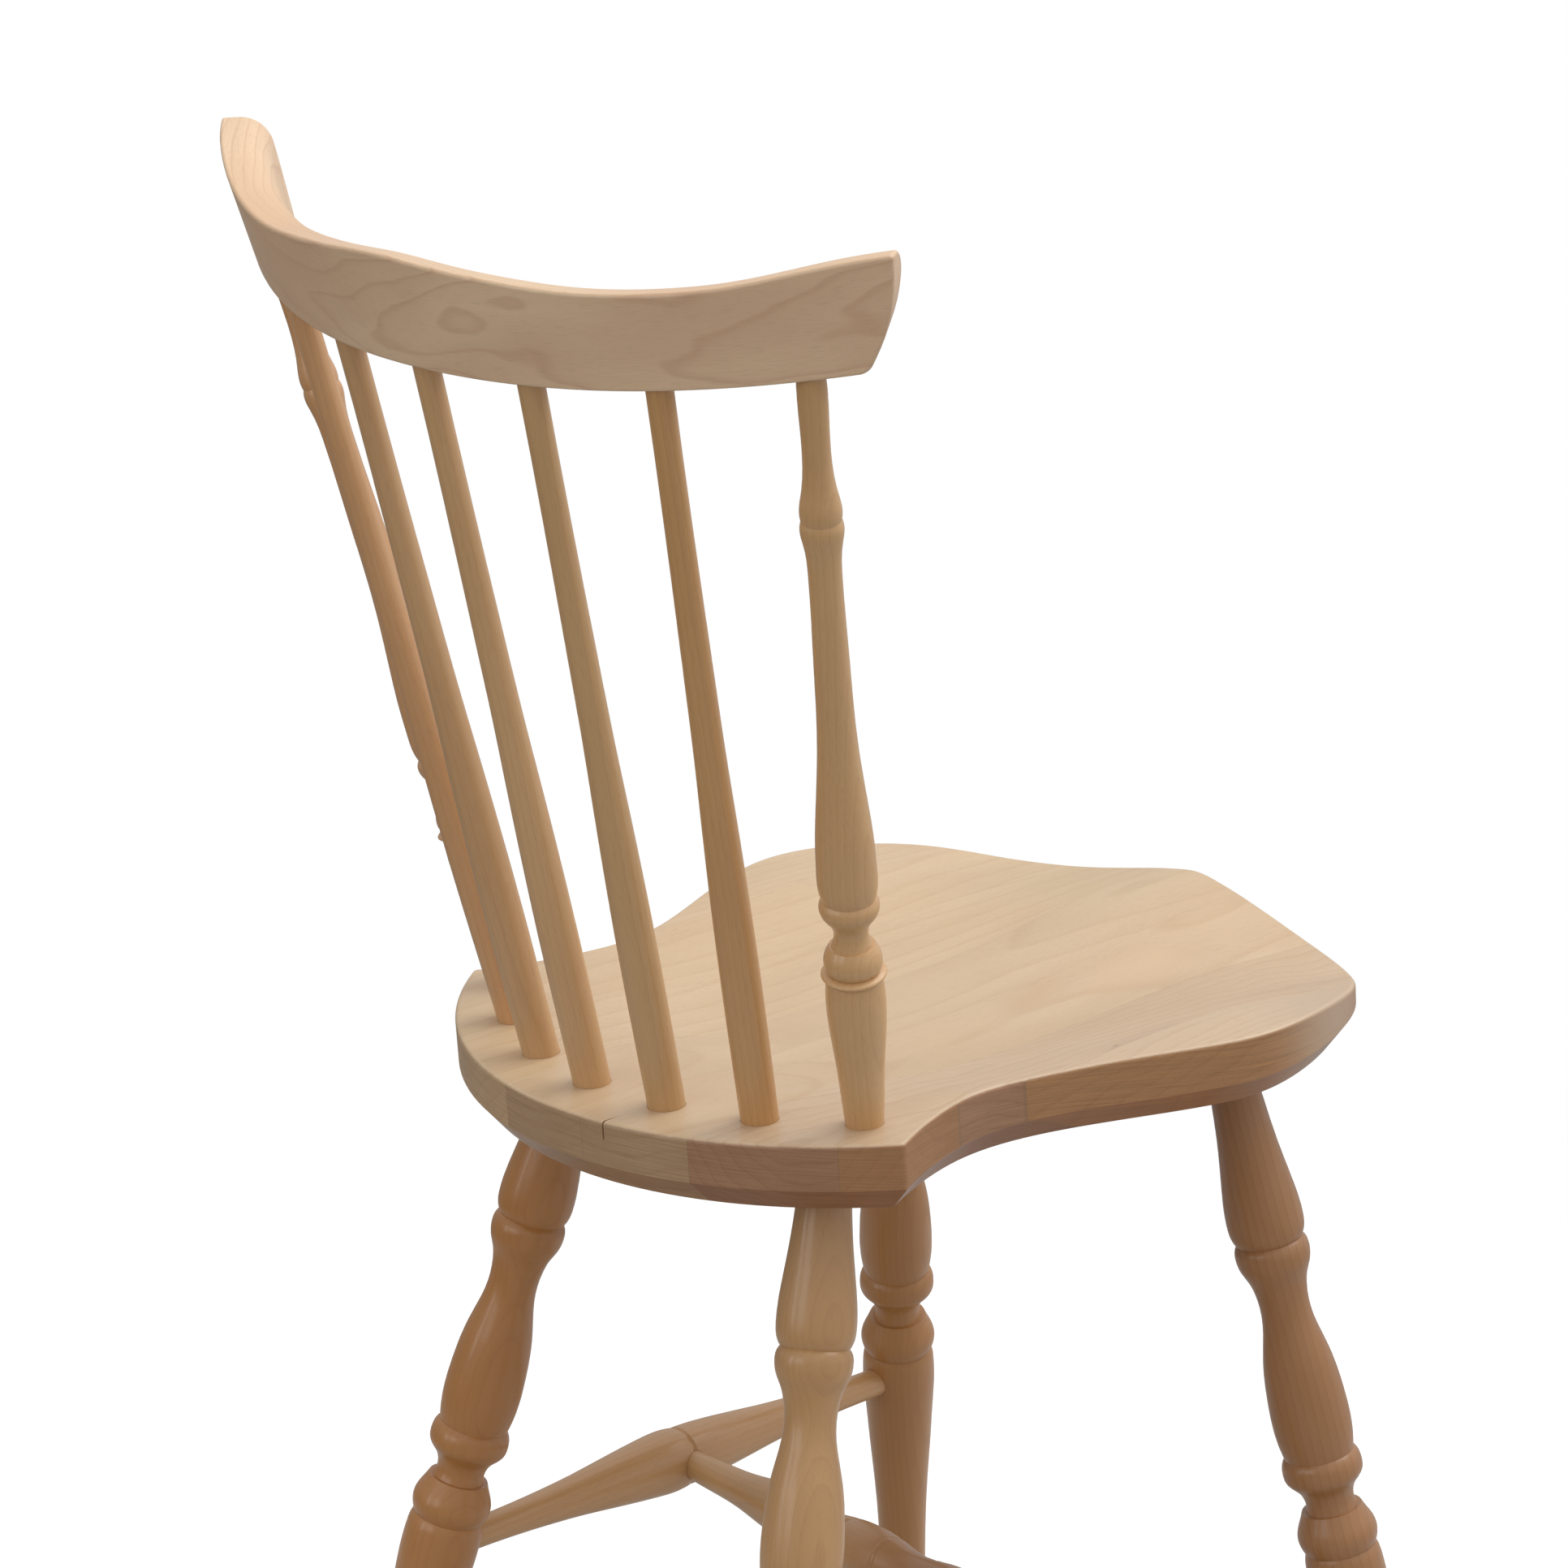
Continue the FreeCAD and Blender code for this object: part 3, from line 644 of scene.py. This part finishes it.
# Turned pieces: grain along each one
turnedDefaults = {
    "pith": (0.05, 0.02),
    "ringWidth": 0.0032,
    "ringDepth": 0.16,
    "lateDepth": 0.30,
    "waviness": 0.0016,
    "wander": (20, 20, 3),
    "ringLean": 0.02,
    "roughness": (0.34, 0.46),
    "coat": 0.35,
    "coatRoughness": 0.2,
}
# the legs and stretchers are darker partly as painted shade under the seat, the front legs, far rear leg
# and near side stretcher most; the rest is each piece's own tone
turnedPieces = {
    "spindle_1": shades((0.56, 0.31, 0.125)),
    "spindle_2": shades((0.56, 0.345, 0.16)),
    "spindle_3": shades((0.60, 0.37, 0.18)),
    "spindle_4": shades((0.56, 0.34, 0.165)),
    "spindle_5": shades((0.60, 0.34, 0.16)),
    "post_left": {**shades((0.61, 0.37, 0.17)), "pith": (0.06, 0.02)},
    "post_right": {**shades((0.61, 0.335, 0.155)), "pith": (0.06, 0.02), "lateDepth": 0.5},
    "leg_rear_left": {**shades((0.48, 0.27, 0.11)), "pith": (0.07, 0.02)},
    "leg_rear_right": {**shades((0.42, 0.185, 0.05)), "pith": (0.07, 0.02)},
    "leg_front_left": {
        **shades((0.345, 0.16, 0.056)),
        "pith": (0.06, 0.01),
        "ringWidth": 0.004,
        "ringDepth": 0.25,
        "lateDepth": 0.55,
        "waviness": 0.003,
    },
    "leg_front_right": {**shades((0.39, 0.18, 0.052)), "pith": (0.07, 0.02)},
    "side_stretcher_left": {**shades((0.33, 0.16, 0.065)), "pith": (0.07, 0.02)},
    "side_stretcher_right": {**shades((0.55, 0.31, 0.135)), "pith": (0.07, 0.02)},
    "cross_stretcher": {
        **shades((0.52, 0.30, 0.13)),
        "pith": (0.07, 0.02),
        # painted shade: darkens the near half of the cross stretcher
        "marks": (mark((-0.114, -0.032, 0.150), 0.15, (0.33, 0.15, 0.055), 0.9, softness=0.5),),
    },
}
turnedStep = (0.53, 0.29, 1.31)
turnedTurn = 1.9                  # radians from one piece to the next
for order, (name, changes) in enumerate(turnedPieces.items()):
    middle, direction = longAxis(nodes[name])
    shift = tuple(step * order for step in turnedStep)
    turn = turnedTurn * order
    look = shiftedLook({**turnedDefaults, **changes}, shift)
    dress(name, lambda tree: straightGrain(tree, middle, direction, turn, shift), look)
print("turned pieces dressed:", len(turnedPieces))


# Crest rail: grain bent with the board
rail = {
    "lean": math.radians(15.92),
    "backRadius": 0.3958,
    "spindleDepth": 0.00875,
    "foot": Vector((0, 0.0586, 0.3584)),   # from the foot of the middle spindle, in the seat's tilt
    "look": {
        **shades((0.77, 0.55, 0.355)),
        "streak": (0.58, 0.33, 0.20),
        "pith": (-0.034, 0.022),
        "ringWidth": 0.0048,
        "ringLean": 0.055,
        "waviness": 0.007,
        "wander": (20, 20, 7),
        "ringDepth": 0.16,
        "lateDepth": 0.40,
        "marks": (mark((0.135, 0.218, 0.815), 0.10, (0.68, 0.42, 0.23), 0.60),),
    },
}
railLean = rail["lean"] + seat["slope"]
railMiddle = rail["backRadius"] - rail["spindleDepth"]
railFoot = seatTilt @ rail["foot"] + seat["spindleFoot"]
railBackward = Vector((0, math.cos(railLean), -math.sin(railLean)))
railAxis = railFoot - railBackward * railMiddle
dress("crest_rail", lambda tree: bentGrain(tree, railAxis, railLean, railMiddle), rail["look"])
print("rail dressed")


# Floor and light
room = {
    "floorSize": 4.0,
    "floorTone": (0.97, 0.97, 0.97),
    "floorRoughness": 0.9,
    "floorSheen": 0.1,
    "floorFade": (0.55, 1.25),             # metres from the middle of the chair
    "floorBounce": 0.40,                   # share of the floor that the chair is lit by
    "brightWay": (-0.25, -0.25, 0.90),     # where most of the soft light comes from
    "brightest": 1.15,
    "falloff": 1.3,
}


def floorMaterial():
    # runs out into the white backdrop a little beyond the chair
    material = bpy.data.materials.new("pale_floor")
    material.use_nodes = True
    tree = material.node_tree
    shader = tree.nodes["Principled BSDF"]
    shader.inputs["Base Color"].default_value = (*room["floorTone"], 1)
    shader.inputs["Roughness"].default_value = room["floorRoughness"]
    shader.inputs["Specular IOR Level"].default_value = room["floorSheen"]
    place = addNode(tree, "ShaderNodeTexCoord", (-8, 0))
    distance = addNode(tree, "ShaderNodeVectorMath", (-7, 0), operation="LENGTH")
    feed(tree, place.outputs["Object"], distance.inputs[0])
    near, far = room["floorFade"]
    rays = addNode(tree, "ShaderNodeLightPath", (-7, 2))
    solid = mapRange(tree, rays.outputs["Is Camera Ray"], 0.0, 1.0, room["floorBounce"], 1.0, (-6, 2))
    fade = mapRange(tree, distance.outputs["Value"], near, far, 1.0, 0.0, (-6, 0), smooth=True)
    feed(tree, mathNode(tree, "MULTIPLY", fade, solid, (-5, 0)), shader.inputs["Alpha"])
    return material


def buildFloor():
    half = room["floorSize"] / 2
    mesh = bpy.data.meshes.new("floor")
    corners = [(-half, -half, 0), (half, -half, 0), (half, half, 0), (-half, half, 0)]
    mesh.from_pydata(corners, [], [(0, 1, 2, 3)])
    floor = bpy.data.objects.new("floor", mesh)
    bpy.context.scene.collection.objects.link(floor)
    mesh.materials.append(floorMaterial())


def buildWorld():
    # a white backdrop that lights the chair from above and in front more than from behind
    world = bpy.data.worlds.new("studio")
    bpy.context.scene.world = world
    world.use_nodes = True
    tree = world.node_tree
    tree.nodes.clear()
    way = addNode(tree, "ShaderNodeTexCoord", (-5, 1))
    toward = addNode(tree, "ShaderNodeVectorMath", (-4, 1), operation="DOT_PRODUCT")
    feed(tree, way.outputs["Generated"], toward.inputs[0])
    toward.inputs[1].default_value = Vector(room["brightWay"]).normalized()
    share = mapRange(tree, toward.outputs["Value"], -1.0, 1.0, 0.0, 1.0, (-3, 1))
    light = mathNode(tree, "POWER", share, room["falloff"], (-2, 1))
    light = mathNode(tree, "MULTIPLY", light, room["brightest"], (-2, 2))
    rays = addNode(tree, "ShaderNodeLightPath", (-4, 0))
    strength = mapRange(tree, rays.outputs["Is Camera Ray"], 0.0, 1.0, light, 1.0, (-1, 0))
    background = addNode(tree, "ShaderNodeBackground", (0, 0))
    background.inputs["Color"].default_value = (1, 1, 1, 1)
    feed(tree, strength, background.inputs["Strength"])
    output = addNode(tree, "ShaderNodeOutputWorld", (1, 0))
    feed(tree, background.outputs[0], output.inputs["Surface"])


softboxes = {
    "keyLight": {"place": (-0.5, -1.3, 2.9), "size": (2.0, 2.0), "watts": 36},
    "fillLight": {"place": (-0.3, 3.0, 1.3), "size": (1.2, 1.2), "watts": 9},
    "sheenLight": {"place": (0.9, 2.5, 1.0), "size": (0.25, 1.3), "watts": 5},
}
lightTarget = Vector((0, 0, 0.5))


def buildSoftbox(name, settings):
    data = bpy.data.lights.new(name, "AREA")
    data.shape = "RECTANGLE"
    data.size, data.size_y = settings["size"]
    data.energy = settings["watts"]
    lamp = bpy.data.objects.new(name, data)
    bpy.context.scene.collection.objects.link(lamp)
    lamp.location = settings["place"]
    lamp.rotation_euler = (lightTarget - lamp.location).to_track_quat("-Z", "Y").to_euler()


buildFloor()
buildWorld()
for name, settings in softboxes.items():
    buildSoftbox(name, settings)
print("floor and lights placed")


# Camera behind the chair's left side, as in the photograph
view = {
    "place": Vector((-1.83425, 1.494132, 1.21351)),
    "target": Vector((-0.03126, 0.047232, 0.56874)),
    "roll": math.radians(-0.0686),
    "lens": 118.906,
    "sensor": 36.0,
}


def buildCamera():
    data = bpy.data.cameras.new("viewCamera")
    data.sensor_width = view["sensor"]
    data.lens = view["lens"]
    camera = bpy.data.objects.new("viewCamera", data)
    bpy.context.scene.collection.objects.link(camera)
    camera.location = view["place"]
    aim = (view["target"] - view["place"]).to_track_quat("-Z", "Y").to_matrix().to_4x4()
    camera.rotation_euler = (aim @ Matrix.Rotation(view["roll"], 4, "Z")).to_euler()
    bpy.context.scene.camera = camera


buildCamera()
bpy.context.scene.view_settings.view_transform = "Standard"
print("camera placed")
